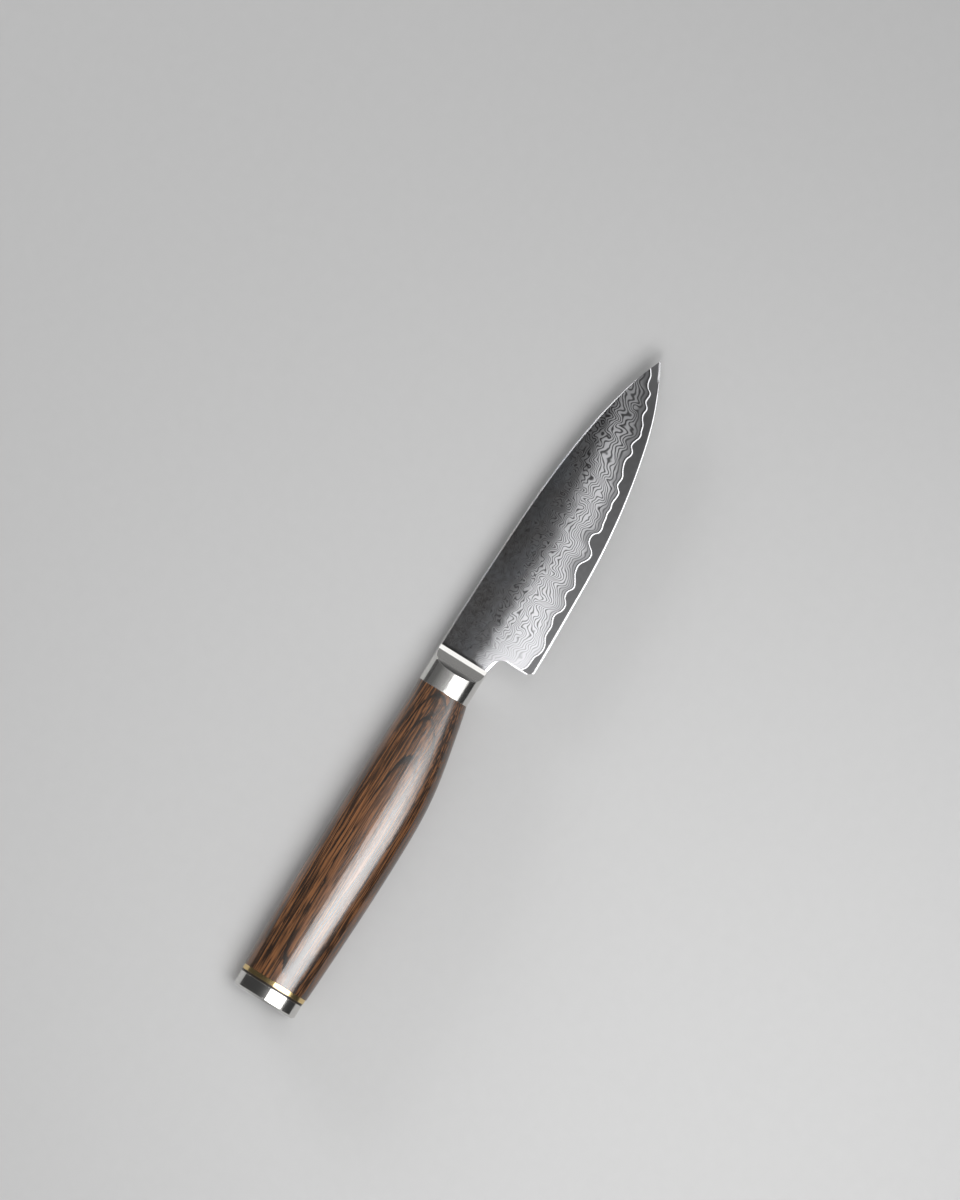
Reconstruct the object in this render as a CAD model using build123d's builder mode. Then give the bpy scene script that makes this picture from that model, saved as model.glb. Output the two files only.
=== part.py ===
"""A paring knife with a laminated steel blade, a steel bolster, an oval wooden handle and a steel butt cap.

The knife lies on its left side. X runs along it from the butt to the tip, Y towards the spine and Z up
through its thickness. The origin is at the middle of its outline, on the surface that it lies on.
"""
from build123d import *
import os

os.makedirs("parts", exist_ok=True)

# Lengths along the knife, in millimetres
blade_length = 102.0
bolster_length = 11.6
wood_length = 95.8
ring_length = 1.4
liner_length = 0.7
cap_length = 4.4

# Blade
heel_height = 27.4
tip_drop = 10.9
blade_thickness = 2.0
core_thickness = 0.4
grind_height = 18.5
sharpened_height = 0.6
thickness_behind_edge = 0.3
edge_flat = 0.05
spine_chamfer = 0.4
edge_slope_at_tip = 0.55

# Notch between blade and bolster, and the clipped heel
notch_height = 15.9
notch_length = 5.3
notch_fall = 1.0
notch_radius = 2.6
heel_clip_length = 1.3
heel_clip_height = 2.0

# Tang, level with the bolster's middle, and the rod that is welded to the lower part of its end
tang_in_wood = 30.0
tang_height = 11.0
rod_diameter = 5.0
rod_in_cap = 2.8
glue_gap = 0.5

# Bolster
bolster_thickness = 12.2
bolster_fullness_share = 0.74
bevel_length = 1.35
bevel_front_thickness = 3.8
bevel_rear_thickness = 4.6
ramp_length = 4.0
ramp_hollow = 0.35

# Handle and what is behind it
handle_height = 22.5
handle_thickness = 15.5
butt_fullness_share = 0.62
ring_step = 0.15
liner_step = 0.35
cap_step = 0.3
cap_chamfer = 0.6

overrun = 2.0

# Shares of the blade's length from the bolster, and of the drop from the spine's level to the tip
spine_shares = (
    (0.174, 0.010),
    (0.342, 0.042),
    (0.511, 0.102),
    (0.623, 0.186),
    (0.735, 0.318),
    (0.819, 0.463),
    (0.903, 0.662),
    (0.959, 0.843),
    (1.000, 1.000),
)

# Shares of the blade's length, and of the rise from the heel's level to the tip
edge_shares = (
    (0.100, 0.000),
    (0.258, 0.030),
    (0.398, 0.066),
    (0.511, 0.131),
    (0.623, 0.232),
    (0.721, 0.355),
    (0.819, 0.511),
    (0.903, 0.703),
    (1.000, 1.000),
)

# The wavy line where the patterned layers end and the core shows, as shares of the blade's length
# and of its height above the heel's level. It starts in the notch and ends above the spine.
layer_line_shares = (
    (0.042, 0.165), (0.059, 0.124), (0.068, 0.099), (0.082, 0.090), (0.104, 0.084), (0.118, 0.061),
    (0.135, 0.048), (0.152, 0.061), (0.166, 0.091), (0.177, 0.103), (0.205, 0.103), (0.219, 0.123),
    (0.233, 0.135), (0.245, 0.121), (0.256, 0.097), (0.270, 0.091), (0.284, 0.115), (0.295, 0.146),
    (0.307, 0.153), (0.318, 0.136), (0.329, 0.117), (0.343, 0.134), (0.357, 0.166), (0.371, 0.190),
    (0.388, 0.200), (0.399, 0.188), (0.411, 0.160), (0.428, 0.140), (0.442, 0.160), (0.453, 0.209),
    (0.464, 0.239), (0.478, 0.246), (0.489, 0.231), (0.498, 0.198), (0.509, 0.192), (0.526, 0.208),
    (0.543, 0.216), (0.557, 0.230), (0.571, 0.225), (0.588, 0.242), (0.619, 0.237), (0.630, 0.265),
    (0.641, 0.296), (0.661, 0.292), (0.678, 0.321), (0.695, 0.349), (0.712, 0.361), (0.734, 0.340),
    (0.745, 0.361), (0.757, 0.391), (0.771, 0.380), (0.788, 0.362), (0.802, 0.380), (0.819, 0.398),
    (0.833, 0.437), (0.847, 0.457), (0.861, 0.453), (0.872, 0.474), (0.880, 0.505), (0.903, 0.505),
    (0.914, 0.551), (0.928, 0.586), (0.948, 0.601), (0.959, 0.627), (0.968, 0.652), (0.976, 0.679),
)

# Handle sections at even steps from the butt: shares of the handle's height for the section's height
# and for how far its top lies below the spine's level, then the share of the handle's thickness.
# The bolster's own oval is the last section.
handle_shares = (
    (0.922, 0.027, 0.942),
    (0.951, 0.016, 0.965),
    (0.973, 0.007, 0.984),
    (0.987, 0.004, 0.994),
    (0.996, 0.002, 1.000),
    (1.000, 0.000, 1.000),
    (0.993, 0.000, 0.997),
    (0.964, 0.000, 0.981),
    (0.892, 0.005, 0.948),
    (0.795, 0.012, 0.884),
)

# Places worked out from the sizes
tip_x = (blade_length + bolster_length + wood_length + ring_length + liner_length + cap_length) / 2
bolster_front_x = tip_x - blade_length
bolster_rear_x = bolster_front_x - bolster_length
wood_rear_x = bolster_rear_x - wood_length
ring_rear_x = wood_rear_x - ring_length
cap_front_x = ring_rear_x - liner_length
butt_x = cap_front_x - cap_length
tang_rear_x = bolster_rear_x - tang_in_wood
past_tip_x = tip_x + overrun
notch_x = bolster_front_x + notch_length

spine_y = heel_height / 2
heel_y = -heel_height / 2
below_heel_y = heel_y - overrun
tip_y = spine_y - tip_drop
notch_y = spine_y - notch_height
bolster_mid_y = spine_y - notch_height / 2

mid_z = handle_thickness / 2
middle_plane = Plane.XY.offset(mid_z)

butt_height_share, butt_drop_share, butt_thickness_share = handle_shares[0]
butt_height = handle_height * butt_height_share
butt_thickness = handle_thickness * butt_thickness_share
butt_mid_y = spine_y - handle_height * butt_drop_share - butt_height / 2

tang_low_y = bolster_mid_y - tang_height / 2
tang_top_y = bolster_mid_y + tang_height / 2
rod_y = tang_low_y + rod_diameter / 2
bore_diameter = rod_diameter + 2 * glue_gap


def along_blade(share):
    """A place along the blade, from the bolster's front."""
    return bolster_front_x + share * blade_length


def upright(x):
    """A plane across the knife, whose own axes are Y and Z."""
    return Plane.YZ.offset(x)


def oval(middle_y, height, thickness, fullness):
    """A full oval round the knife's middle plane: fullness sets how square its four quarters are."""
    with BuildSketch() as section:
        with BuildLine():
            for up in (1, -1):
                for out in (1, -1):
                    top = up * height / 2
                    side = out * thickness / 2
                    Bezier(
                        (middle_y + top, mid_z),
                        (middle_y + top, mid_z + side * fullness),
                        (middle_y + top * fullness, mid_z + side),
                        (middle_y, mid_z + side),
                    )
        make_face()
    return section.sketch


def bolster_oval():
    """The oval of the bolster, which is also the front end of the wood."""
    return oval(bolster_mid_y, notch_height, bolster_thickness, bolster_fullness_share)


def butt_oval(step):
    """The oval of the wood's rear end, drawn in by a step all round."""
    return oval(butt_mid_y, butt_height - 2 * step, butt_thickness - 2 * step, butt_fullness_share)


# Outline of the blade and its tang, as the right half of a block with chamfered rims
with BuildPart() as half_outline:
    with BuildSketch(middle_plane) as side_view:
        with BuildLine():
            spine = Spline(
                [(bolster_front_x, spine_y)]
                + [(along_blade(place), spine_y - drop * tip_drop) for place, drop in spine_shares]
            )
            past_tip = spine @ 1 + (spine % 1) * overrun
            Polyline(
                spine @ 1,
                past_tip,
                (past_tip.X, below_heel_y),
                (notch_x + heel_clip_length, below_heel_y),
                (notch_x + heel_clip_length, heel_y),
                (notch_x, heel_y + heel_clip_height),
                (notch_x, notch_y - notch_fall),
                (bolster_front_x, notch_y),
                (bolster_front_x, tang_low_y),
                (tang_rear_x, tang_low_y),
                (tang_rear_x, tang_top_y),
                (bolster_front_x, tang_top_y),
                spine @ 0,
            )
        make_face()
        notch_corner = side_view.vertices().sort_by_distance((notch_x, notch_y - notch_fall, mid_z))[0]
        fillet(notch_corner, notch_radius)
    extrude(amount=blade_thickness / 2)
    rims = half_outline.faces().sort_by(Axis.Z)[-1].edges()
    shown_rims = rims.filter_by(
        lambda rim: rim.center().X > bolster_front_x + spine_chamfer and rim.center().Y > heel_y
    )
    chamfer(shown_rims, spine_chamfer)

# Right half of the blade: one ground section carried along the cutting edge without turning
with BuildPart() as half_blade:
    with BuildLine() as edge_path:
        Line((tang_rear_x - overrun, heel_y, mid_z), (along_blade(edge_shares[0][0]), heel_y, mid_z))
        cutting_edge = Spline(
            [(along_blade(place), heel_y + rise * (tip_y - heel_y), mid_z) for place, rise in edge_shares],
            tangents=[(1, 0), (1, edge_slope_at_tip)],
        )
        Line(cutting_edge @ 1, cutting_edge @ 1 + (cutting_edge % 1) * overrun)
    with BuildSketch(upright(tang_rear_x - overrun)):
        with BuildLine():
            apex = (heel_y, mid_z + edge_flat / 2)
            bevel_top = (heel_y + sharpened_height, mid_z + thickness_behind_edge / 2)
            grind_top = (heel_y + grind_height, mid_z + blade_thickness / 2)
            over_spine_y = spine_y + overrun
            Line(apex, bevel_top)
            TangentArc(grind_top, bevel_top, tangent=(-1, 0))
            Polyline(grind_top, (over_spine_y, grind_top[1]), (over_spine_y, mid_z), (heel_y, mid_z), apex)
        make_face()
    sweep(path=edge_path.wires()[0], normal=(1, 0, 0))
    add(half_outline.part, mode=Mode.INTERSECT)

with BuildPart() as whole_blade:
    add(half_blade.part)
    mirror(about=middle_plane)

# Zone of the core: a thin sheet in the middle, and everything below the wavy line
with BuildPart() as core_zone:
    with BuildSketch(middle_plane):
        with BuildLine():
            layer_line = Spline(
                [(along_blade(place), heel_y + rise * heel_height) for place, rise in layer_line_shares]
            )
            line_start = layer_line @ 0
            line_end = layer_line @ 1
            Polyline(
                line_end,
                (past_tip_x, line_end.Y),
                (past_tip_x, below_heel_y),
                (line_start.X, below_heel_y),
                line_start,
            )
        make_face()
    extrude(amount=blade_thickness)
    with Locations((0, 0, mid_z)):
        Box(2 * past_tip_x, heel_height + 2 * overrun, core_thickness)

with BuildPart() as blade_core:
    add(half_blade.part)
    add(core_zone.part, mode=Mode.INTERSECT)
    mirror(about=middle_plane)

with BuildPart() as cladding_right:
    add(half_blade.part)
    add(core_zone.part, mode=Mode.SUBTRACT)

with BuildPart() as cladding_left:
    mirror(cladding_right.part, about=middle_plane)

# Bolster: an oval collar whose front is scooped on both sides down to a bevelled rim
with BuildPart() as bolster:
    with BuildSketch(upright(bolster_rear_x)):
        add(bolster_oval())
    extrude(amount=bolster_length)
    with BuildSketch(Plane.XZ):
        with BuildLine():
            bevel_rear_x = bolster_front_x - bevel_length
            ramp_foot = Vector(bevel_rear_x, mid_z + bevel_rear_thickness / 2)
            ramp_head = Vector(bevel_rear_x - ramp_length, mid_z + bolster_thickness / 2)
            across_ramp = (ramp_head - ramp_foot).normalized().rotate(Axis.Z, 90)
            ramp = ThreePointArc(ramp_foot, (ramp_foot + ramp_head) / 2 + across_ramp * ramp_hollow, ramp_head)
            past_head = ramp @ 1 + (ramp % 1) * overrun
            Polyline(
                ramp_head,
                past_head,
                (bolster_rear_x, past_head.Y),
                (bolster_rear_x, mid_z),
                (bolster_front_x, mid_z),
                (bolster_front_x, mid_z + bevel_front_thickness / 2),
                ramp_foot,
            )
        make_face()
        mirror(about=Plane.XZ.offset(-mid_z))
    extrude(amount=heel_height, both=True, mode=Mode.INTERSECT)
    add(whole_blade.part, mode=Mode.SUBTRACT)

# Slot for the tang and bore for the rod, as the glue fills them before the steel goes in
with BuildPart() as glue_space:
    with BuildSketch(upright(tang_rear_x)):
        with Locations((bolster_mid_y, mid_z)):
            Rectangle(tang_height + 2 * glue_gap, blade_thickness + 2 * glue_gap)
    extrude(amount=tang_in_wood)
    with BuildSketch(upright(cap_front_x)):
        with Locations((rod_y, mid_z)):
            Circle(bore_diameter / 2)
    extrude(amount=tang_rear_x - cap_front_x)

# Handle: oval sections lofted from the butt to the bolster's own oval
with BuildPart() as handle:
    for step, (height_share, drop_share, thickness_share) in enumerate(handle_shares):
        place = step / len(handle_shares)
        height = handle_height * height_share
        middle_y = spine_y - handle_height * drop_share - height / 2
        fullness = butt_fullness_share + place * (bolster_fullness_share - butt_fullness_share)
        with BuildSketch(upright(wood_rear_x + place * wood_length)):
            add(oval(middle_y, height, handle_thickness * thickness_share, fullness))
    with BuildSketch(upright(bolster_rear_x)):
        add(bolster_oval())
    loft()
    add(glue_space.part, mode=Mode.SUBTRACT)

# Rod from the tang's end into the blind hole of the cap
with BuildPart() as tang_rod:
    with BuildSketch(upright(cap_front_x - rod_in_cap)):
        with Locations((rod_y, mid_z)):
            Circle(rod_diameter / 2)
    extrude(amount=tang_rear_x - cap_front_x + rod_in_cap)

with BuildPart() as tang_adhesive:
    add(glue_space.part)
    add(whole_blade.part, mode=Mode.SUBTRACT)
    add(tang_rod.part, mode=Mode.SUBTRACT)

# Brass ring, fibre liner and steel cap, in this order behind the wood
with BuildPart() as brass_spacer:
    with BuildSketch(upright(ring_rear_x)):
        add(butt_oval(ring_step))
    extrude(amount=ring_length)
    add(glue_space.part, mode=Mode.SUBTRACT)

with BuildPart() as fibre_liner:
    with BuildSketch(upright(cap_front_x)):
        add(butt_oval(liner_step))
    extrude(amount=liner_length)
    add(glue_space.part, mode=Mode.SUBTRACT)

with BuildPart() as end_cap:
    with BuildSketch(upright(butt_x)):
        add(butt_oval(cap_step))
    extrude(amount=cap_length)
    chamfer(end_cap.faces().sort_by(Axis.X)[0].edges(), cap_chamfer)
    add(tang_rod.part, mode=Mode.SUBTRACT)

blade_core.part.label = "blade_core"
cladding_right.part.label = "cladding_right"
cladding_left.part.label = "cladding_left"
bolster.part.label = "bolster"
handle.part.label = "handle"
tang_rod.part.label = "tang_rod"
tang_adhesive.part.label = "tang_adhesive"
brass_spacer.part.label = "brass_spacer"
fibre_liner.part.label = "fibre_liner"
end_cap.part.label = "end_cap"

export_step(blade_core.part, "parts/blade_core.step")
export_step(cladding_right.part, "parts/cladding_right.step")
export_step(cladding_left.part, "parts/cladding_left.step")
export_step(bolster.part, "parts/bolster.step")
export_step(handle.part, "parts/handle.step")
export_step(tang_rod.part, "parts/tang_rod.step")
export_step(tang_adhesive.part, "parts/tang_adhesive.step")
export_step(brass_spacer.part, "parts/brass_spacer.step")
export_step(fibre_liner.part, "parts/fibre_liner.step")
export_step(end_cap.part, "parts/end_cap.step")
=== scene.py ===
"""The looks of a paring knife: the finish of every piece, a pale floor, soft light and the camera.

Lengths are in metres. The knife lies on its left side: X runs from the butt to the tip, Y towards the
spine and Z up through its thickness. The camera looks straight down.
"""
import math

import bpy
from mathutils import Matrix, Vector


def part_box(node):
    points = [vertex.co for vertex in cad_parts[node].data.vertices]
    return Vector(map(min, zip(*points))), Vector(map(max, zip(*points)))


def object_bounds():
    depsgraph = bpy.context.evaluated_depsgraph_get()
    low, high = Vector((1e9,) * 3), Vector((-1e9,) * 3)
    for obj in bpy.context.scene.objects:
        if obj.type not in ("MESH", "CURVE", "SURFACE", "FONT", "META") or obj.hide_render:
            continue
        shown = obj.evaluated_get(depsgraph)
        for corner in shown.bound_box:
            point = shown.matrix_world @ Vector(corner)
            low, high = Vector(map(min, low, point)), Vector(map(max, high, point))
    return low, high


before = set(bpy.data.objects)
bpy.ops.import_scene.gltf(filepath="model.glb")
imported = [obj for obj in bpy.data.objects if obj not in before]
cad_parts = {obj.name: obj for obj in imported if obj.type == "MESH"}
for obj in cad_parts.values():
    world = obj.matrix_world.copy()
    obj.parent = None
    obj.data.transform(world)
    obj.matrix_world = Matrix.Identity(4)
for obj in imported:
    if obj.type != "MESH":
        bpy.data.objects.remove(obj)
cad_low, cad_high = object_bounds()

MM = 0.001

# Places that the materials follow, from the frame
core_low, core_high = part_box("blade_core")
tip = max((vertex.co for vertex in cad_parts["blade_core"].data.vertices), key=lambda place: place.x)
bolster_front_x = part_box("bolster")[1].x
blade_length = core_high.x - bolster_front_x
heel_y = core_low.y
spine_y = core_high.y
heel_height = spine_y - heel_y
mid_z = (core_low.z + core_high.z) / 2

# Finger notch between bolster and heel
notch_height = 15.9 * MM
notch_length = 5.3 * MM
notch_fall = 1.0 * MM
notch_radius = 2.6 * MM
notch_y = spine_y - notch_height

# Cutting edge, as shares of the blade's length and of the rise from the heel's level to the tip
edge_shares = (
    (0.100, 0.000),
    (0.258, 0.030),
    (0.398, 0.066),
    (0.511, 0.131),
    (0.623, 0.232),
    (0.721, 0.355),
    (0.819, 0.511),
    (0.903, 0.703),
    (1.000, 1.000),
)

# The wavy line between the patterned layers and the core, as shares of the blade's length and of its
# height above the heel's level
layer_line_shares = (
    (0.042, 0.165), (0.059, 0.124), (0.068, 0.099), (0.082, 0.090), (0.104, 0.084), (0.118, 0.061),
    (0.135, 0.048), (0.152, 0.061), (0.166, 0.091), (0.177, 0.103), (0.205, 0.103), (0.219, 0.123),
    (0.233, 0.135), (0.245, 0.121), (0.256, 0.097), (0.270, 0.091), (0.284, 0.115), (0.295, 0.146),
    (0.307, 0.153), (0.318, 0.136), (0.329, 0.117), (0.343, 0.134), (0.357, 0.166), (0.371, 0.190),
    (0.388, 0.200), (0.399, 0.188), (0.411, 0.160), (0.428, 0.140), (0.442, 0.160), (0.453, 0.209),
    (0.464, 0.239), (0.478, 0.246), (0.489, 0.231), (0.498, 0.198), (0.509, 0.192), (0.526, 0.208),
    (0.543, 0.216), (0.557, 0.230), (0.571, 0.225), (0.588, 0.242), (0.619, 0.237), (0.630, 0.265),
    (0.641, 0.296), (0.661, 0.292), (0.678, 0.321), (0.695, 0.349), (0.712, 0.361), (0.734, 0.340),
    (0.745, 0.361), (0.757, 0.391), (0.771, 0.380), (0.788, 0.362), (0.802, 0.380), (0.819, 0.398),
    (0.833, 0.437), (0.847, 0.457), (0.861, 0.453), (0.872, 0.474), (0.880, 0.505), (0.903, 0.505),
    (0.914, 0.551), (0.928, 0.586), (0.948, 0.601), (0.959, 0.627), (0.968, 0.652), (0.976, 0.679),
)

# Sizes on the blade's faces. The layers' pitch is first that far from the tip, then near it.
grind_height = 18.5 * MM
border_width = 0.38 * MM
layer_pitches = (0.80 * MM, 1.44 * MM)
relief_depth = 0.0010 * MM

# Where a finish starts or ends: each pair is where that begins and where it is complete.
# Heights above the layer line
core_end = (-0.06 * MM, 0.02 * MM)
border_start = (-0.05 * MM, 0.05 * MM)
border_end = (border_width - 0.08 * MM, border_width + 0.06 * MM)
# A darker band just above the border
border_dark_band_end = (border_width, border_width + 0.6 * MM)
bend_start = (border_width, 3.5 * MM)
even_end = (0.8 * MM, 3.0 * MM)
# Painted shade low in the folds, above the border
low_fold_shade_end = (0.6 * MM, 4.5 * MM)
turmoil_start = (5.0 * MM, 12.0 * MM)

# Heights above the cutting edge
flat_start = (grind_height - 2.5 * MM, grind_height + 0.5 * MM)
clear_fold_end = (grind_height - 1.0 * MM, grind_height + 5.0 * MM)

# Distances from the notch's outline
worn_end = (0.8 * MM, 14.0 * MM)
fresh_notch_end = (1.2 * MM, 1.6 * MM)

# Distances from the bolster, and places along Y
notch_rim_narrows = (2.5 * MM, 5.0 * MM)
# Painted shade in the corner at the bolster's front: how far it reaches from the bolster, and where it starts
# along Y
corner_shade_end = (0.5 * MM, 1.1 * MM)
corner_shade_start_y = (-1.2 * MM, 0.4 * MM)
fresh_spine_start_y = (0.0, 1.0 * MM)

# Shares of the notch's rim, and how level a face is where it stops being a rim
notch_rim_end = (0.65, 1.0)
rim_end_levelness = (0.984, 0.990)

# Heights above the cutting edge that change along the blade. The painted shade towards the flat starts lower
# past the heel and is complete lower near the tip, and the honed edge narrows towards the tip.
painted_flat_shade_starts = (14.0 * MM, 10.0 * MM)
painted_flat_shade_ends = (17.5 * MM, 14.5 * MM)
honed_heights = (0.42 * MM, 0.18 * MM)
honed_blur = 0.15 * MM

# Width of the notch's rim at the bolster and down the heel
notch_rim_widths = (1.1 * MM, 0.45 * MM)

# How strongly the noises bend the layers: the eddies first at the border, then at the flat, and all bends
# first far from the tip, then near it. The swirl also moves the flat's lower line.
swirl_bend = 3.2
calm_bend = 2.2
eddy_bends = (0.5, 2.6)
bend_shares = (1.0, 0.75)
flat_sway = 1.6 * MM

# The layers follow a wave that goes from 0 to 1 and back: its phase at the border, the height up to which it
# is dark near the tip, and how much higher it is wholly bright, first far from the tip, then near it
border_phase = 0.35
dark_height = 0.20
bright_heights = (0.60, 0.54)

# How much of the folds is worn away round the notch and along the border, and how bright it is there
worn_share = 0.62
worn_brightness = 0.82
even_share = 0.5
even_brightness = 0.6

# Sizes of the blade's noises, along it and across it
swirl_size = (2.8 * MM, 5.0 * MM)
eddy_size = (2.2 * MM, 2.1 * MM)
calm_size = (5.0 * MM, 2.6 * MM)
mottle_size = (1.6 * MM, 1.3 * MM)
cloud_size = (14.0 * MM, 8.0 * MM)

# Seeds, which keep the noises and the blade's two sides apart
cloud_seed = 5.0
eddy_seed = 9.0
calm_seed = 13.0
mottle_seed = 21.0
side_seed = 37.0

# Where the finish changes along the blade, as shares of its length
tip_zone_shares = (0.50, 0.90)
# The heel zone, where painted shade darkens the folds and the flat
heel_zone_shares = (0.0, 0.25)
# Where the painted shade towards the flat starts lower
painted_flat_shade_zone_shares = (0.1, 0.4)
# Where the darker band beside the border comes in
border_dark_band_zone_shares = (-0.1, 0.2)
# Where the painted shade low in the folds comes in
low_fold_shade_zone_shares = (0.15, 0.40)
honed_zone_shares = (0.1, 0.8)
light_core_zone_shares = (0.80, 1.0)

# Brightness of the blade's steels, from 0 to 1: first far from the tip, then near it
dark_layer_levels = (0.080, 0.075)
bright_layer_levels = (0.60, 0.59)
border_levels = (0.66, 0.50)
core_levels = (0.078, 0.14)

# Brightness of the flat above the grind, and what bright layers add to it high up and low down. Then that of
# dull rims, such as the band over the edge, and of freshly ground ones.
# The flat's low brightness is partly the steel's own and partly painted shade, for the dark reflection over it
flat_level = 0.12
flat_fold_levels = (0.04, 0.13)
rim_levels = (0.10, 0.78)

# What is left of the brightness: towards the flat, by painted shade; beside the border, in a darker band; low
# in the folds, in the corner at the bolster and in the folds at the heel, by painted shade; and in the flat
# far from the heel and at it, with painted shade at the heel
painted_flat_shade_share = 0.26
border_dark_band_share = 0.4
low_fold_shade_share = 0.54
corner_shade_share = 0.4
heel_fold_shade_share = 0.73
flat_shares_with_heel_shade = (0.59, 0.50)

# How strongly the noises change the brightness and tint the flat, and how much blue the steel has
cloud_strength = 0.05
flat_mottle_strength = 0.09
core_mottle_strength = 0.016
tint_mottle_share = 0.5
tint_strength = 0.08
blue_share = 1.03

# How far the border and the notch's rim lean towards the edge
border_lean = 0.10
notch_rim_lean = 0.12

# Roughness of the blade's steels: of dark and bright layers, and of dull and fresh rims
layer_roughness = (0.24, 0.15)
flat_roughness = 0.14
border_roughness = 0.16
core_roughness = 0.30
rim_roughness = (0.40, 0.17)

# How metallic the etched steel is, unlike the rims and the border
etched_metallic = 0.7

# Wood
veneer_thickness = 0.62 * MM
light_wood = (0.262, 0.108, 0.041, 1.0)
dark_wood = (0.042, 0.019, 0.009, 1.0)
black_wood = (0.007, 0.004, 0.002, 1.0)

# The veneers' bends in thicknesses: drift and waver first at the butt, then from the calm part on
calm_start_x = (-55.0 * MM, -25.0 * MM)
drift_bends = (0.9, 0.35)
waver_bends = (0.18, 0.12)
streak_bend = 0.06
fibre_bend = 0.03
first_veneer = 0.1

# The dark joint, in shares of a veneer: how far it fades into the outer one, how much further where it is
# heavy or the surface is steep, and where the next joint starts
joint_fade = 0.24
heavy_joint_fade = 0.24
steep_joint_fade = 1.4
next_joint_start = (0.92, 0.98)

# The noise at which a joint is heavy, how much the fibres break that up, and how dark a light joint is
heavy_joint_start = (-0.45, 0.05)
joint_fibre_share = 0.3
light_joint_share = 0.3

# Growth rings: how many a veneer has, how the noises bend them, where in one the latewood starts and at
# which noise it shows, and how dark it is on level surfaces and on steep ones: paler on level ones, partly
# from how the cut meets the rings and partly as a painted highlight
rings_per_veneer = 2.3
ring_streak_bend = 0.5
ring_fibre_bend = 0.15
ring_seed_step = 9.0
latewood_start = (0.60, 0.95)
ring_noise_start = (-0.35, 0.25)
steep_start = (0.0, 0.12)
latewood_shares = (0.35, 0.75)

# The grain: its mix of noises and where it starts in them. Then what it, the veneer's own tone and the patches
# add to the wood's darkness, and what is taken off.
fibre_grain = 1.5
streak_grain = 0.45
grain_start = (-0.40, 0.36)
grain_share = 0.86
veneer_share = 0.28
patch_share = 0.25
wood_lift = 0.03

# Pores and lines: where they are in their noises, and how dark
pore_start = (0.22, 0.5)
pore_share = 0.5
line_end = (0.02, 0.09)
line_patch_start = (-0.35, 0.15)
line_streak_share = 0.5
line_share = 0.8

# Surface of the wood and of the varnish on it, where the joints are sunk in between the fibres
wood_roughness = 0.5
fibre_roughness = 0.05
wood_relief = 0.010 * MM
joint_height = -0.5
varnish_roughness = 0.23
varnish_ior = 1.95
varnish_relief = 0.0020 * MM

# Sizes of the wood's noises, along the handle and across it
fibre_size = (11.0 * MM, 0.44 * MM)
streak_size = (28.0 * MM, 0.85 * MM)
patch_size = (26.0 * MM, 7.0 * MM)
pore_size = (3.0 * MM, 0.24 * MM)
line_size = (34.0 * MM, 0.8 * MM)
ring_size = (15.0 * MM, 1.8 * MM)
drift_size = (55.0 * MM, 9.0 * MM)
waver_size = (8.0 * MM, 3.0 * MM)
heavy_joint_size = (13.0 * MM, 3.5 * MM)

# Sizes of the other noises
scratch_size = (0.09 * MM, 2.5 * MM)
stain_size = (3.0 * MM, 3.0 * MM)
speck_size = (0.2 * MM, 0.2 * MM)
epoxy_streak_size = (4.0 * MM, 1.0 * MM)
floor_grain_size = (4.0 * MM, 4.0 * MM)

# Belt-finished metal: how much of its colour it keeps where it is worn, how much scratches and stains add to
# the wear and the roughness, and how deep the scratches are
worn_metal_share = 0.90
scratch_wear = 0.5
stain_wear = 0.3
scratch_roughness = 0.03
stain_roughness = 0.015
scratch_relief = 0.0004 * MM

# Other colours
steel_colour = (0.70, 0.69, 0.67, 1.0)
rod_colour = (0.55, 0.55, 0.56, 1.0)
brass_colour = (0.80, 0.60, 0.29, 1.0)
fibre_colours = ((0.010, 0.007, 0.005, 1.0), (0.030, 0.022, 0.016, 1.0))
epoxy_colours = ((0.36, 0.27, 0.13, 1.0), (0.45, 0.36, 0.20, 1.0))
floor_levels = (0.61, 0.63)


class Field:
    """A number that varies over a surface, and that sums and products can use."""

    def __init__(self, shader, socket):
        self.shader = shader
        self.socket = socket

    def __add__(self, other):
        return self.shader.math("ADD", self, other)

    def __sub__(self, other):
        return self.shader.math("SUBTRACT", self, other)

    def __rsub__(self, other):
        return self.shader.math("SUBTRACT", other, self)

    def __mul__(self, other):
        return self.shader.math("MULTIPLY", self, other)

    def __truediv__(self, other):
        return self.shader.math("DIVIDE", self, other)

    def __abs__(self):
        return self.shader.math("ABSOLUTE", self)

    __radd__ = __add__
    __rmul__ = __mul__


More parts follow.
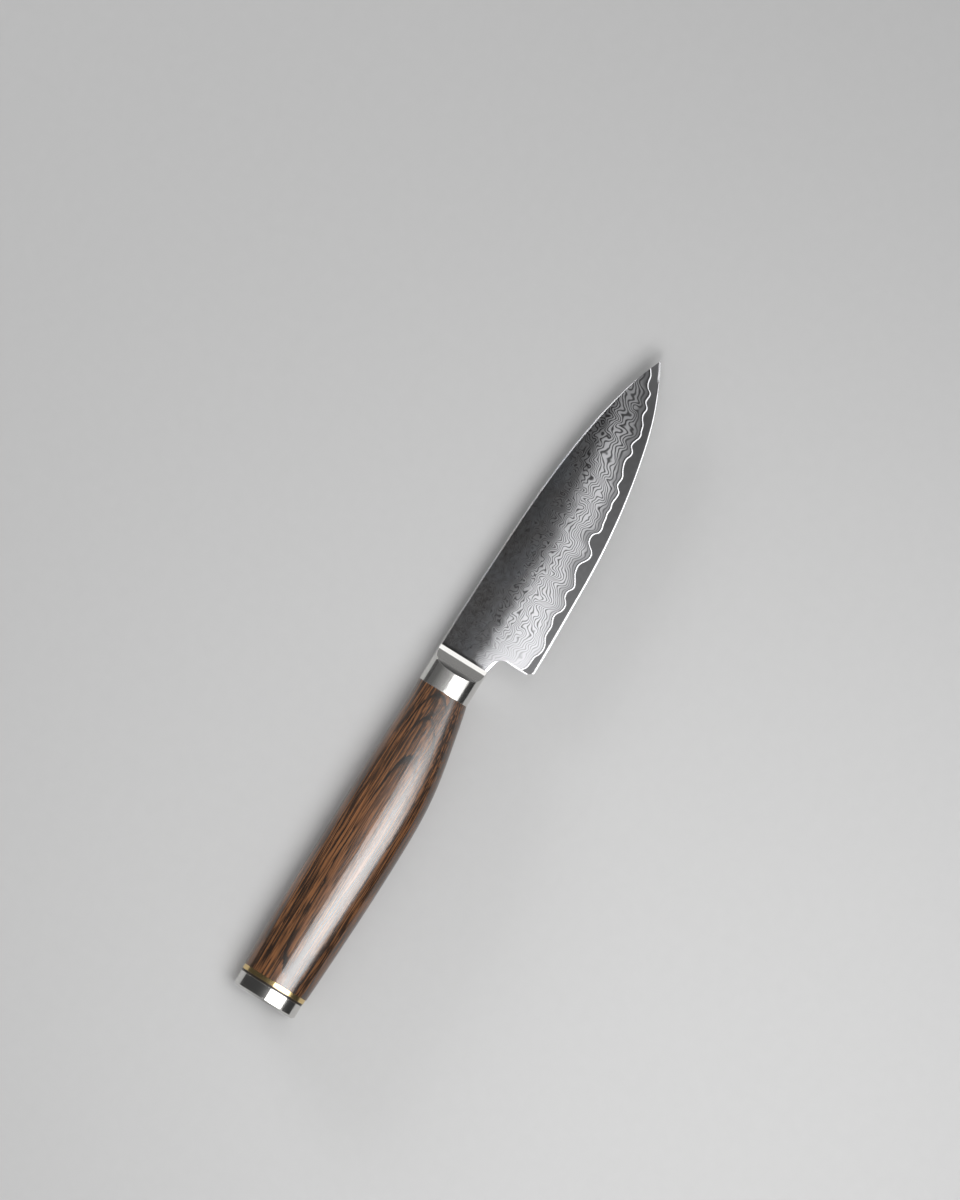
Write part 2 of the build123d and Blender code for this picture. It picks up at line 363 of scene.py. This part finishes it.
class Shader:
    """A material with the fields and colours that feed its surface."""

    def __init__(self, name):
        self.material = bpy.data.materials.new(name)
        self.material.use_nodes = True
        self.nodes = self.material.node_tree.nodes
        self.links = self.material.node_tree.links
        self.surface = self.nodes["Principled BSDF"]
        place = self.node("ShaderNodeTexCoord").outputs["Object"]
        split = self.node("ShaderNodeSeparateXYZ", {"Vector": place})
        self.x, self.y, self.z = (Field(self, output) for output in split.outputs)

    def feed(self, socket, value):
        """Links a field or an output to a socket, or sets a constant on it."""
        value = value.socket if isinstance(value, Field) else value
        if isinstance(value, bpy.types.NodeSocket):
            self.links.new(value, socket)
        else:
            socket.default_value = value

    def node(self, kind, inputs=None, **settings):
        """A new node with its settings, and its inputs by name or number."""
        node = self.nodes.new(kind)
        for name, value in settings.items():
            setattr(node, name, value)
        for name, value in (inputs or {}).items():
            self.feed(node.inputs[name], value)
        return node

    def math(self, operation, *operands):
        node = self.node("ShaderNodeMath", dict(enumerate(operands)), operation=operation)
        return Field(self, node.outputs[0])

    def greater(self, first, second):
        return self.math("MAXIMUM", first, second)

    def rise(self, field, start, end):
        """Rises smoothly from 0 at start to 1 at end."""
        limits = {"Value": field, "From Min": start, "From Max": end}
        node = self.node("ShaderNodeMapRange", limits, interpolation_type="SMOOTHSTEP")
        return Field(self, node.outputs[0])

    def fall(self, field, start, end):
        """Falls smoothly from 1 at start to 0 at end."""
        return 1.0 - self.rise(field, start, end)

    def noise(self, size, seed=None, detail=0.0):
        """Smooth noise between -1 and 1, with features of about one size along X and another across it.

        A seed takes the place of Z, so that the noise goes straight through the piece.
        """
        along, across = size
        depth = self.z / across if seed is None else seed
        axes = {"X": self.x / along, "Y": self.y / across, "Z": depth}
        place = self.node("ShaderNodeCombineXYZ", axes).outputs[0]
        texture = self.node("ShaderNodeTexNoise", {"Vector": place, "Scale": 1.0, "Detail": detail})
        return Field(self, texture.outputs[0]) * 2.0 - 1.0

    def chance(self, number):
        """One random number between 0 and 1 for each whole number."""
        whole = self.math("FLOOR", number)
        texture = self.node("ShaderNodeTexWhiteNoise", {"W": whole}, noise_dimensions="1D")
        return Field(self, texture.outputs[0])

    def curve(self, field, shares):
        """The smooth curve through a table of shares, at the field's value."""
        node = self.node("ShaderNodeFloatCurve", {"Value": field})
        points = node.mapping.curves[0].points
        for point, place in zip(points, (shares[0], shares[-1])):
            point.location = place
        for place in shares[1:-1]:
            points.new(*place)
        node.mapping.update()
        return Field(self, node.outputs[0])

    def blend(self, share, first, second):
        """A number or a colour that goes from first to second as the share goes from 0 to 1."""
        if isinstance(first, (tuple, bpy.types.NodeSocket)):
            ends = {0: share, 6: first, 7: second}
            return self.node("ShaderNodeMix", ends, data_type="RGBA", clamp_factor=True).outputs[2]
        ends = {0: share, 2: first, 3: second}
        node = self.node("ShaderNodeMix", ends, data_type="FLOAT", clamp_factor=True)
        return Field(self, node.outputs[0])

    def normal(self):
        """The direction that the surface faces."""
        return self.node("ShaderNodeNewGeometry").outputs["Normal"]

    def levelness(self):
        """1 where the surface lies level, down to 0 where it is upright."""
        split = self.node("ShaderNodeSeparateXYZ", {"Vector": self.normal()})
        return abs(Field(self, split.outputs["Z"]))

    def rounded(self, radius):
        """The surface's normal with edges rounded off by a radius."""
        return self.node("ShaderNodeBevel", {"Radius": radius}, samples=6).outputs[0]

    def relief(self, height, depth, normal=None):
        """The surface's normal with a relief of a given depth."""
        inputs = {"Height": height, "Distance": depth, "Strength": 1.0}
        if normal is not None:
            inputs["Normal"] = normal
        return self.node("ShaderNodeBump", inputs).outputs[0]

    def finish(self, **inputs):
        """Feeds the surface's inputs, given with underscores for spaces."""
        for name, value in inputs.items():
            self.feed(self.surface.inputs[name.replace("_", " ")], value)
        return self.material


def grey(level):
    return (level, level, level, 1.0)


def beyond_notch(shader):
    """How far a place on the blade lies from the finger notch's outline."""
    corner_x = bolster_front_x + notch_length - notch_radius
    corner_y = notch_y - notch_radius
    slope = notch_fall / notch_length
    past_x = shader.greater(shader.x - corner_x, 0.0)
    past_y = shader.greater(shader.y + (shader.x - bolster_front_x) * slope - corner_y, 0.0)
    return shader.math("SQRT", past_x * past_x + past_y * past_y) - notch_radius


class Blade:
    """Where a place on the blade lies, and how much of each finish it has, from 0 to 1."""

    def __init__(self, shader):
        self.along = (shader.x - bolster_front_x) / blade_length
        self.near_tip = shader.rise(self.along, *tip_zone_shares)
        # How near the heel a place is, which sets the painted shade there
        self.at_heel = shader.fall(self.along, *heel_zone_shares)
        self.above_line = shader.y - (heel_y + shader.curve(self.along, layer_line_shares) * heel_height)
        self.above_edge = shader.y - (heel_y + shader.curve(self.along, edge_shares) * (tip.y - heel_y))
        self.past_notch = beyond_notch(shader)

        # Noise, which differs between the two sides
        self.seed = shader.math("GREATER_THAN", shader.z, mid_z) * side_seed
        self.swirl = shader.noise(swirl_size, self.seed, detail=0.5)
        self.mottle = shader.noise(mottle_size, self.seed + mottle_seed, detail=3.0)
        self.cloud = shader.noise(cloud_size, self.seed + cloud_seed, detail=1.0)

        self.swayed = self.above_edge + self.swirl * flat_sway
        self.unfolded = shader.rise(self.swayed, *flat_start)
        self.border = shader.rise(self.above_line, *border_start) * shader.fall(self.above_line, *border_end)
        self.core = shader.fall(self.above_line, *core_end)
        self.notch_rim = self.rim_round_notch(shader)
        self.rim = shader.greater(shader.fall(shader.levelness(), *rim_end_levelness), self.notch_rim)

    def rim_round_notch(self, shader):
        """The polished rim of the notch, wide at the bolster and narrow down the heel."""
        past_bolster = shader.rise(shader.x - bolster_front_x, *notch_rim_narrows)
        rim_width = shader.blend(past_bolster, *notch_rim_widths)
        return shader.fall(self.past_notch / rim_width, *notch_rim_end)


def fold_layers(shader, blade):
    """1 in a bright layer and 0 in a dark one: contour lines of a bumpy slope that starts on the border."""
    eddy = shader.noise(eddy_size, blade.seed + eddy_seed)
    calm = shader.noise(calm_size, blade.seed + calm_seed)
    turmoil = shader.rise(blade.above_line, *turmoil_start)
    bumps = blade.swirl * (swirl_bend + calm * calm_bend) + eddy * shader.blend(turmoil, *eddy_bends)
    freedom = shader.rise(blade.above_line, *bend_start) * shader.blend(blade.near_tip, *bend_shares)
    pitch = shader.blend(blade.near_tip, *layer_pitches)
    layer = (blade.above_line - border_width) / pitch + bumps * freedom + border_phase
    wave = shader.math("PINGPONG", layer + 0.5, 0.5) * 2.0
    bright_height = shader.blend(blade.near_tip, *bright_heights)
    bright = shader.rise(wave - blade.near_tip * dark_height, 0.0, bright_height)

    # The brushing wore the folds away round the notch, and they are faint along the border
    worn = shader.fall(blade.past_notch, *worn_end) * worn_share
    even = shader.fall(blade.above_line, *even_end) * even_share
    return shader.blend(even, shader.blend(worn, bright, worn_brightness), even_brightness)


def folded_zone(shader, blade, bright_layer):
    """Brightness of the folded zone, with painted shade towards the flat, low in the folds and on bright
    layers at the heel, and a darker band beside the border.
    """
    # Painted shade that darkens the folds towards the flat; dull says how much of it a place has
    flat_shade_start = shader.blend(shader.rise(blade.along, *painted_flat_shade_zone_shares), *painted_flat_shade_starts)
    flat_shade_end = shader.blend(blade.near_tip, *painted_flat_shade_ends)
    dull = shader.rise((blade.swayed - flat_shade_start) / (flat_shade_end - flat_shade_start), 0.0, 1.0)
    # A darker band just above the border, coming in past the heel
    border_dark_band = shader.fall(blade.above_line, *border_dark_band_end) * shader.rise(blade.along, *border_dark_band_zone_shares)
    # Painted shade low in the folds, just above the border, away from the heel
    low = shader.fall(blade.above_line, *low_fold_shade_end) * shader.rise(blade.along, *low_fold_shade_zone_shares)
    dark_level = shader.blend(blade.near_tip, *dark_layer_levels)
    bright_level = shader.blend(blade.near_tip, *bright_layer_levels)
    # Painted shade on the bright layers at the heel
    bright_level = bright_level * shader.blend(blade.at_heel, 1.0, heel_fold_shade_share)
    level = shader.blend(bright_layer, dark_level, bright_level) + blade.cloud * cloud_strength
    for place, share in ((dull, painted_flat_shade_share), (border_dark_band, border_dark_band_share), (low, low_fold_shade_share)):
        level = level * shader.blend(place, 1.0, share)
    return level


def flat_zone(shader, blade, bright_layer):
    """Brightness of the flat above the grind, where the folds fade out. Its low level is partly the steel's
    own and partly painted shade.
    """
    clear = shader.fall(blade.swayed, *clear_fold_end)
    folds = bright_layer * shader.blend(clear, *flat_fold_levels)
    level = flat_level + folds + blade.mottle * flat_mottle_strength + blade.cloud * cloud_strength
    # Painted shade darkens the flat at the heel
    return level * shader.blend(blade.at_heel, *flat_shares_with_heel_shade)


def freshly_ground(shader, blade):
    """1 on the sharpened edge, the spine's chamfer and the notch's rim, 0 on the dull band over the edge."""
    honed = shader.blend(shader.rise(blade.along, *honed_zone_shares), *honed_heights)
    sharpened = shader.fall(blade.above_edge, honed, honed + honed_blur)
    at_spine = shader.rise(shader.y, *fresh_spine_start_y)
    at_notch = shader.fall(blade.past_notch, *fresh_notch_end)
    return shader.greater(shader.greater(sharpened, at_spine), at_notch)


def stepped_normal(shader, blade):
    """The surface's normal, where the border and the notch's rim are small steps that face the edge."""
    lean = shader.greater(blade.border * border_lean, blade.notch_rim * notch_rim_lean)
    step = shader.node("ShaderNodeCombineXYZ", {"X": 0.0, "Y": lean * -1.0, "Z": 0.0}).outputs[0]
    tilted = shader.node("ShaderNodeVectorMath", {0: shader.normal(), 1: step}, operation="ADD").outputs[0]
    return shader.node("ShaderNodeVectorMath", {0: tilted}, operation="NORMALIZE").outputs[0]


def blade_steel(name):
    """Folded steel over a plain core: fine winding lines above the wavy border, and polished rims."""
    shader = Shader(name)
    blade = Blade(shader)
    bright_layer = fold_layers(shader, blade)
    fresh = freshly_ground(shader, blade)
    # Painted shade in the corner where the blade meets the bolster
    corner = shader.fall(shader.x - bolster_front_x, *corner_shade_end) * shader.rise(shader.y, *corner_shade_start_y)
    light_core = shader.rise(blade.along, *light_core_zone_shares)
    core_level = shader.blend(light_core, *core_levels) + blade.mottle * core_mottle_strength

    folded_level = folded_zone(shader, blade, bright_layer)
    level = shader.blend(blade.unfolded, folded_level, flat_zone(shader, blade, bright_layer))
    # The corner's painted shade darkens the level
    level = level * shader.blend(corner, 1.0, corner_shade_share)
    level = shader.blend(blade.border, level, shader.blend(blade.near_tip, *border_levels))
    level = shader.blend(blade.core, level, core_level)
    level = shader.blend(blade.rim, level, shader.blend(fresh, *rim_levels))
    tint = (blade.cloud + blade.mottle * tint_mottle_share) * blade.unfolded * tint_strength
    parts = (level * (1.0 - tint), level, level * (blue_share + tint))
    colour = shader.node("ShaderNodeCombineColor", dict(enumerate(parts))).outputs[0]

    roughness = shader.blend(bright_layer, *layer_roughness)
    roughness = shader.blend(blade.unfolded, roughness, flat_roughness)
    roughness = shader.blend(blade.border, roughness, border_roughness)
    roughness = shader.blend(blade.core, roughness, core_roughness)
    roughness = shader.blend(blade.rim, roughness, shader.blend(fresh, *rim_roughness))

    etched = bright_layer * (1.0 - blade.unfolded) * (1.0 - blade.core) * (1.0 - blade.rim)
    return shader.finish(
        Base_Color=colour,
        Metallic=shader.blend(shader.greater(blade.rim, blade.border), etched_metallic, 1.0),
        Roughness=roughness,
        Normal=shader.relief(etched, relief_depth, stepped_normal(shader, blade)),
    )


def satin_metal(name, colour, roughness, edge_radius):
    """Metal that was finished on a belt: very fine scratches round the piece, and broken edges."""
    shader = Shader(name)
    scratches = shader.noise(scratch_size, detail=2.0)
    stains = shader.noise(stain_size, detail=2.0)
    worn = (*(part * worn_metal_share for part in colour[:3]), 1.0)
    return shader.finish(
        Base_Color=shader.blend(scratches * scratch_wear + stains * stain_wear + 0.5, worn, colour),
        Metallic=1.0,
        Roughness=roughness + scratches * scratch_roughness + stains * stain_roughness,
        Normal=shader.relief(scratches, scratch_relief, shader.rounded(edge_radius)),
    )


def veneer_number(shader, fibre, streak):
    """Counts the veneers outwards from the handle's middle, wavier towards the butt."""
    drift = shader.noise(drift_size, detail=1.5)
    waver = shader.noise(waver_size, detail=1.0)
    calm = shader.rise(shader.x, *calm_start_x)
    waves = drift * shader.blend(calm, *drift_bends) + waver * shader.blend(calm, *waver_bends)
    outwards = abs(shader.z - mid_z) / veneer_thickness
    return outwards + waves + streak * streak_bend + fibre * fibre_bend + first_veneer


def veneer_joint(shader, veneer, fibre, steep):
    """1 on the dark joint between two veneers, which fades into the outer one."""
    past_joint = shader.math("FRACT", veneer)
    heavy = shader.noise(heavy_joint_size, detail=1.0)
    fade = joint_fade + heavy * heavy_joint_fade + steep * steep_joint_fade
    fading = shader.fall(past_joint, 0.0, fade)
    joint = shader.greater(fading * fading, shader.rise(past_joint, *next_joint_start))
    weight = shader.rise(heavy + fibre * joint_fibre_share, *heavy_joint_start)
    return joint * shader.blend(weight, light_joint_share, 1.0)


def growth_rings(shader, veneer, tone, fibre, streak, steep):
    """Growth rings, which the cut shows as finer lines beside the joints, paler on level faces partly as a
    painted highlight.
    """
    ring = veneer * rings_per_veneer + streak * ring_streak_bend + fibre * ring_fibre_bend + tone
    latewood = shader.rise(shader.math("PINGPONG", ring, 0.5) * 2.0, *latewood_start)
    where = shader.noise(ring_size, seed=tone * ring_seed_step)
    latewood = latewood * shader.rise(where, *ring_noise_start)
    # Latewood is paler on level faces, partly a painted highlight where the varnish's highlight lies
    return latewood * shader.blend(shader.rise(steep, *steep_start), *latewood_shares)


def laminated_wood():
    """Dyed veneers pressed side by side, with dark joints and fibres along them, under a satin varnish."""
    shader = Shader("laminated_wood")
    fibre = shader.noise(fibre_size, detail=1.0)
    streak = shader.noise(streak_size, detail=1.5)
    patch = shader.noise(patch_size, detail=2.0)
    pore = shader.noise(pore_size, detail=1.0)
    steep = 1.0 - shader.levelness()
    veneer = veneer_number(shader, fibre, streak)
    joint = veneer_joint(shader, veneer, fibre, steep)
    tone = shader.chance(veneer)
    line = shader.fall(abs(shader.noise(line_size, detail=1.0)), *line_end)
    line = line * shader.rise(patch + streak * line_streak_share, *line_patch_start)

    grain = shader.rise(fibre * fibre_grain + streak * streak_grain, *grain_start)
    darkness = grain * grain_share + tone * veneer_share + patch * patch_share - wood_lift
    colour = shader.blend(darkness, light_wood, dark_wood)
    rings = growth_rings(shader, veneer, tone, fibre, streak, steep)
    pores = shader.rise(pore, *pore_start) * pore_share
    for share in (rings, pores, line * line_share, joint):
        colour = shader.blend(share, colour, black_wood)
    return shader.finish(
        Base_Color=colour,
        Roughness=wood_roughness + fibre * fibre_roughness,
        Specular_IOR_Level=0.0,
        Normal=shader.relief(fibre + joint * joint_height, wood_relief),
        Coat_Weight=1.0,
        Coat_Roughness=varnish_roughness,
        Coat_IOR=varnish_ior,
        Coat_Normal=shader.relief(fibre + patch, varnish_relief),
    )


def pressed_fibre():
    """Vulcanised fibre: dark, dense and slightly mottled."""
    shader = Shader("pressed_fibre")
    specks = shader.noise(speck_size, detail=2.0)
    return shader.finish(
        Base_Color=shader.blend(specks * 0.5 + 0.5, *fibre_colours),
        Roughness=0.32 + specks * 0.05,
        Normal=shader.rounded(0.06 * MM),
    )


def cured_epoxy():
    """Amber glue, inside the handle."""
    shader = Shader("cured_epoxy")
    streaks = shader.noise(epoxy_streak_size, detail=2.0)
    return shader.finish(
        Base_Color=shader.blend(streaks * 0.5 + 0.5, *epoxy_colours),
        Roughness=0.35 + streaks * 0.05,
    )


def floor_paint():
    """Plain pale paint, a little uneven."""
    shader = Shader("floor_paint")
    grain = shader.noise(floor_grain_size, seed=0.0, detail=2.0)
    return shader.finish(
        Base_Color=shader.blend(grain * 0.5 + 0.5, *(grey(level) for level in floor_levels)),
        Roughness=0.7 + grain * 0.02,
        Specular_IOR_Level=0.2,
    )


def dress(node, material):
    """Gives a carried CAD node its material."""
    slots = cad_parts[node].data.materials
    slots.clear()
    slots.append(material)


folded_finish = blade_steel("patterned_steel")
polished_finish = satin_metal("polished_steel", steel_colour, 0.17, edge_radius=0.12 * MM)
dress("blade_core", blade_steel("core_steel"))
dress("cladding_right", folded_finish)
dress("cladding_left", folded_finish)
dress("bolster", polished_finish)
dress("end_cap", polished_finish)
dress("tang_rod", satin_metal("rod_steel", rod_colour, 0.3, edge_radius=0.1 * MM))
dress("brass_spacer", satin_metal("brass", brass_colour, 0.2, edge_radius=0.06 * MM))
dress("fibre_liner", pressed_fibre())
dress("handle", laminated_wood())
dress("tang_adhesive", cured_epoxy())

# Camera: far above the knife, framed as in the photograph. Places are in its pixels, and the scale is in
# pixels per metre.
photo_height = 1200
photo_centre = (480, 600)
photo_tip = (661, 361)
photo_butt = (268, 993)
photo_scale = 3490
camera_distance = 6.0
sensor_length = 36.0


def hang_camera():
    turn = math.atan2(photo_butt[1] - photo_tip[1], photo_tip[0] - photo_butt[0])
    from_tip_right = (photo_centre[0] - photo_tip[0]) / photo_scale
    from_tip_up = (photo_tip[1] - photo_centre[1]) / photo_scale
    view_centre = Vector((
        tip.x + from_tip_right * math.cos(turn) + from_tip_up * math.sin(turn),
        tip.y - from_tip_right * math.sin(turn) + from_tip_up * math.cos(turn),
        mid_z,
    ))
    camera_data = bpy.data.cameras.new("camera")
    camera_data.sensor_width = sensor_length
    camera_data.lens = sensor_length * camera_distance / (photo_height / photo_scale)
    camera = bpy.data.objects.new("camera", camera_data)
    camera.location = view_centre + Vector((0, 0, camera_distance))
    camera.rotation_euler = (0, 0, -turn)
    bpy.context.scene.collection.objects.link(camera)
    bpy.context.scene.camera = camera


def lay_floor(reach):
    """A square floor under the knife, which reaches this far to each side."""
    sides = ((-1, -1), (1, -1), (1, 1), (-1, 1))
    corners = [(reach * side_x, reach * side_y, cad_low.z) for side_x, side_y in sides]
    floor_mesh = bpy.data.meshes.new("floor")
    floor_mesh.from_pydata(corners, [], [(0, 1, 2, 3)])
    floor_mesh.materials.append(floor_paint())
    floor = bpy.data.objects.new("floor", floor_mesh)
    bpy.context.scene.collection.objects.link(floor)


def softbox(name, height, x_degrees, y_degrees, radiance, back_share=1.0):
    """A soft lamp that hangs level, and fills a range of angles from straight up, as seen from the knife.

    It fades evenly to a share of its radiance at the back.
    """
    left, right = (height * math.tan(math.radians(angle)) for angle in x_degrees)
    front, back = (height * math.tan(math.radians(angle)) for angle in y_degrees)
    lamp_data = bpy.data.lights.new(name, "AREA")
    lamp_data.shape = "RECTANGLE"
    lamp_data.size = right - left
    lamp_data.size_y = back - front
    lamp_data.energy = math.pi * lamp_data.size * lamp_data.size_y * radiance
    lamp_data.use_nodes = True
    nodes = lamp_data.node_tree.nodes
    links = lamp_data.node_tree.links
    place = nodes.new("ShaderNodeTexCoord")
    split_place = nodes.new("ShaderNodeSeparateXYZ")
    fade = nodes.new("ShaderNodeMapRange")
    fade.inputs["To Min"].default_value = 1.0
    fade.inputs["To Max"].default_value = back_share
    links.new(place.outputs["UV"], split_place.inputs[0])
    links.new(split_place.outputs["Y"], fade.inputs["Value"])
    links.new(fade.outputs[0], nodes["Emission"].inputs["Strength"])
    lamp = bpy.data.objects.new(name, lamp_data)
    lamp.location = ((left + right) / 2, (front + back) / 2, height)
    bpy.context.scene.collection.objects.link(lamp)


def paint_world(wall_greys):
    """A room whose grey follows a table, from past the butt at 0 to past the tip at 1."""
    world = bpy.data.worlds.new("studio")
    world.use_nodes = True
    bpy.context.scene.world = world
    nodes = world.node_tree.nodes
    links = world.node_tree.links
    direction = nodes.new("ShaderNodeTexCoord")
    split_direction = nodes.new("ShaderNodeSeparateXYZ")
    across = nodes.new("ShaderNodeMapRange")
    across.inputs["From Min"].default_value = -1.0
    ramp = nodes.new("ShaderNodeValToRGB")
    links.new(direction.outputs["Generated"], split_direction.inputs[0])
    links.new(split_direction.outputs["X"], across.inputs["Value"])
    links.new(across.outputs[0], ramp.inputs[0])
    links.new(ramp.outputs[0], nodes["Background"].inputs["Color"])
    greys = ramp.color_ramp.elements
    for place in wall_greys[1:-1]:
        greys.new(place[0])
    for element, (position, level) in zip(greys, wall_greys):
        element.position = position
        element.color = grey(level)


hang_camera()
lay_floor(reach=3.0)

# A low softbox that ends beside the spine, with two bright ones in it over the handle, a dim one over the
# blade's flat, two narrow ones behind the bolster, and small ones for the cutting edge, the spine and the tip
softbox("low_softbox", 0.45, (-36, 12.0), (-38, -2.4), 1.15)
softbox("handle_softbox", 0.42, (-22, 0.2), (-18.4, -2.6), 7.6, back_share=0.65)
softbox("side_softbox", 0.40, (-24.3, -4.8), (-38, -18.4), 4.5, back_share=1.3)
softbox("flat_softbox", 0.60, (-1, 20), (-2.4, 4), 0.10)
softbox("bolster_softbox", 0.61, (-3, 3), (-1, 28), 0.55, back_share=0.3)
softbox("back_softbox", 0.62, (-3, 3), (28, 58), 0.16)
softbox("edge_softbox", 1.50, (3, 16), (-28, -17), 2.6)
softbox("rim_softbox", 0.30, (35, 68), (68, 80), 14.0)
softbox("tip_softbox", 1.45, (24, 42), (-20, 16), 1.1)

# Pale walls past the butt and the tip, dim overhead
paint_world(wall_greys=((0.0, 0.42), (0.32, 0.42), (0.42, 0.04), (0.56, 0.04), (0.68, 0.50), (0.95, 0.31)))

bpy.context.scene.view_settings.view_transform = "Standard"
